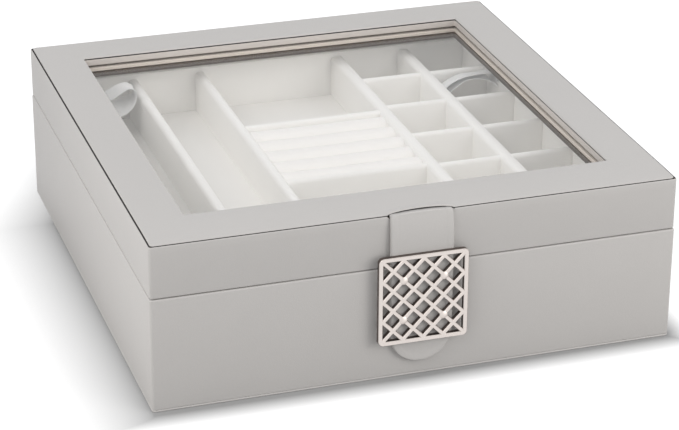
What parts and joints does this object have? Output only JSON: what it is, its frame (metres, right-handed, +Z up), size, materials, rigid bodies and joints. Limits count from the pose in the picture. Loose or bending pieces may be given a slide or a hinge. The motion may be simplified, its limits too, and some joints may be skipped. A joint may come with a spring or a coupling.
{
  "type": "jewelry box",
  "caption": "Leatherette jewelry box with a glazed hinged lid, a strap closure with an openwork plate, and a velvet tray that lifts off a lower tier.",
  "frame": {"origin": "middle of the footprint, on the underside of the bottom cover", "axes": "+Z up, +X to the right seen from the front, +Y to the back; the strap is at the front, towards -Y"},
  "size_m": [0.267, 0.2825, 0.087],
  "materials": {
    "leatherette": "light warm grey leatherette, fine grain, satin",
    "frame_lining": "smooth light taupe leatherette on the window's inner edge",
    "tan_rail": "tan lining, satin",
    "brown_rail": "dark taupe lining, satin",
    "core_board": "raw fibreboard, hidden",
    "clear_pane": "clear polished",
    "velvet": "white short pile velvet",
    "satin": "white satin ribbon",
    "nickel": "polished nickel plate",
    "magnet_steel": "plain, hidden"
  },
  "bodies": {
    "base": {"base_bottom_cover": "leatherette", "base_bottom_board": "core_board", "base_wrap": "leatherette", "floor_pad": "velvet", "tray_ledges": "velvet", "lower_long_dividers": "velvet", "lower_cross_dividers": "velvet", "base_magnet": "magnet_steel", "hinge_base_leaf_left": "nickel", "hinge_base_leaf_right": "nickel", "hinge_pin_left": "nickel", "hinge_pin_right": "nickel", "hinge_screws_base": "nickel", "base_front_board": "core_board", "base_back_board": "core_board", "base_left_board": "core_board", "base_right_board": "core_board", "base_liner_front": "velvet", "base_liner_back": "velvet", "base_liner_left": "velvet", "base_liner_right": "velvet"},
    "lid": {"lid_wrap": "leatherette", "lid_top_cover": "leatherette", "window_frame": "frame_lining", "window_pane": "clear_pane", "pane_retainer": "tan_rail", "window_trim": "brown_rail", "lid_liner": "velvet", "strap_root": "leatherette", "hinge_lid_leaf_left": "nickel", "hinge_lid_leaf_right": "nickel", "hinge_screws_lid": "nickel", "lid_front_board": "core_board", "lid_back_board": "core_board", "lid_left_board": "core_board", "lid_right_board": "core_board"},
    "closure_strap": {"strap_face": "leatherette", "strap_back": "leatherette", "strap_magnet": "magnet_steel", "clasp_plate": "nickel", "clasp_rivets": "nickel"},
    "tray": {"tray_board": "core_board", "tray_lining": "velvet", "tray_front_wall": "velvet", "tray_back_wall": "velvet", "tray_left_wall": "velvet", "tray_right_wall": "velvet", "long_divider_left_outer": "velvet", "long_divider_left_inner": "velvet", "long_divider_right_inner": "velvet", "long_divider_right_outer": "velvet", "cross_dividers_inner": "velvet", "cross_dividers_outer": "velvet", "ring_bar_back": "velvet", "ring_bar_front": "velvet", "ring_rolls": "velvet", "pull_ribbon_left": "satin", "pull_ribbon_right": "satin"}
  },
  "joints": [
    {"name": "lid_hinge", "type": "hinge", "parent": "base", "child": "lid", "pos_m": [0, 0.1383, 0.0593], "axis": [-1, 0, 0], "range_deg": [0, 100]},
    {"name": "strap_fold", "type": "hinge", "parent": "lid", "child": "closure_strap", "pos_m": [0, -0.1377, 0.0856], "axis": [-1, 0, 0], "range_deg": [0, 150]},
    {"name": "tray_lift", "type": "slide", "parent": "base", "child": "tray", "axis": [0, 0, 1], "range_m": [0, 0.008]}
  ]
}
